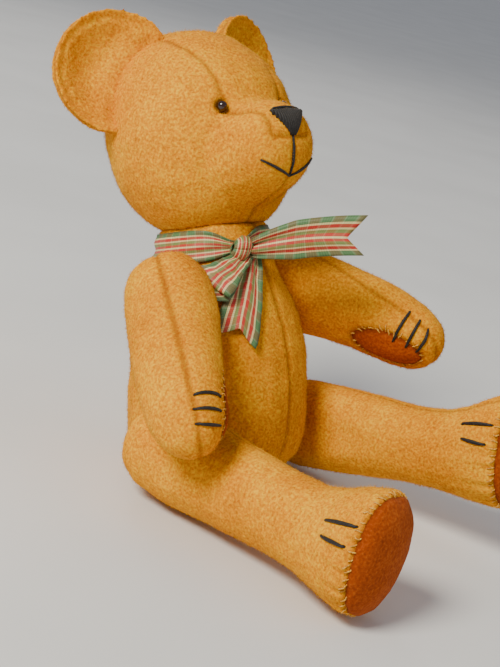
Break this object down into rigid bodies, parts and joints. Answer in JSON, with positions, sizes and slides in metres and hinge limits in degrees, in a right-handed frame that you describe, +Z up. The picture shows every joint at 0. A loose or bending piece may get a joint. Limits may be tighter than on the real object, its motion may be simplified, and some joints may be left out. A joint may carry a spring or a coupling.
{
  "type": "jointed teddy bear",
  "caption": "Small stuffed toy bear with a head, arms and legs that turn on disc joints, sitting, with a ribbon bow at the neck",
  "frame": {"origin": "centre of the bottom of the bounding box, on the surface that the bear sits on", "axes": "+Z up; the bear faces -Y; its own left side is +X"},
  "size_m": [0.0952, 0.1254, 0.1149],
  "materials": {
    "plush": "matte short wool pile",
    "pad_felt": "matte felt",
    "thread": "satin embroidery thread",
    "stuffing": "matte fibre",
    "hardboard": "matte",
    "steel": "satin",
    "eye_bead": "gloss",
    "ribbon": "satin woven"
  },
  "bodies": {
    "torso": {"body_skin_left": "plush", "body_skin_right": "plush", "body_stuffing": "stuffing", "ribbon_neck_band": "ribbon", "ribbon_bow": "ribbon", "neck_disc_in_body": "hardboard", "neck_pin": "steel", "shoulder_left_disc_in_body": "hardboard", "shoulder_left_pin": "steel", "hip_left_disc_in_body": "hardboard", "hip_left_pin": "steel", "shoulder_right_disc_in_body": "hardboard", "shoulder_right_pin": "steel", "hip_right_disc_in_body": "hardboard", "hip_right_pin": "steel"},
    "head": {"head_gusset": "plush", "head_skin_left": "plush", "head_skin_right": "plush", "head_stuffing": "stuffing", "eye_left": "eye_bead", "eye_right": "eye_bead", "nose_stitching": "thread", "mouth_stitching": "thread", "ear_front_left": "plush", "ear_back_left": "plush", "ear_front_right": "plush", "ear_back_right": "plush", "neck_disc": "hardboard"},
    "arm_left": {"arm_left_skin_outer": "plush", "arm_left_skin_inner": "plush", "arm_left_paw_pad": "pad_felt", "arm_left_stuffing": "stuffing", "arm_left_claw_1": "thread", "arm_left_claw_2": "thread", "arm_left_claw_3": "thread", "shoulder_left_disc": "hardboard"},
    "arm_right": {"arm_right_skin_outer": "plush", "arm_right_skin_inner": "plush", "arm_right_paw_pad": "pad_felt", "arm_right_stuffing": "stuffing", "arm_right_claw_1": "thread", "arm_right_claw_2": "thread", "arm_right_claw_3": "thread", "shoulder_right_disc": "hardboard"},
    "leg_left": {"leg_left_skin_outer": "plush", "leg_left_skin_inner": "plush", "leg_left_foot_pad": "pad_felt", "leg_left_stuffing": "stuffing", "leg_left_claw_1": "thread", "leg_left_claw_2": "thread", "hip_left_disc": "hardboard"},
    "leg_right": {"leg_right_skin_outer": "plush", "leg_right_skin_inner": "plush", "leg_right_foot_pad": "pad_felt", "leg_right_stuffing": "stuffing", "leg_right_claw_1": "thread", "leg_right_claw_2": "thread", "hip_right_disc": "hardboard"}
  },
  "joints": [
    {"name": "neck_turn", "type": "hinge", "parent": "torso", "child": "head", "pos_m": [0.00304, 0.02509, 0.06284], "axis": [0, 0.3907, 0.9205], "continuous": true},
    {"name": "shoulder_left_swing", "type": "hinge", "parent": "torso", "child": "arm_left", "pos_m": [0.02094, 0.01605, 0.04615], "axis": [-0.891, -0.0788, -0.4471], "range_deg": [-128, 32]},
    {"name": "shoulder_right_swing", "type": "hinge", "parent": "torso", "child": "arm_right", "pos_m": [-0.01486, 0.01605, 0.04615], "axis": [-0.891, 0.0788, 0.4471], "range_deg": [-98, 62]},
    {"name": "hip_left_swing", "type": "hinge", "parent": "torso", "child": "leg_left", "pos_m": [0.02324, 0.00308, 0.0129], "axis": [-1, 0, 0], "range_deg": [-113, 8]},
    {"name": "hip_right_swing", "type": "hinge", "parent": "torso", "child": "leg_right", "pos_m": [-0.01716, 0.00308, 0.0129], "axis": [-1, 0, 0], "range_deg": [-101, 8]}
  ]
}
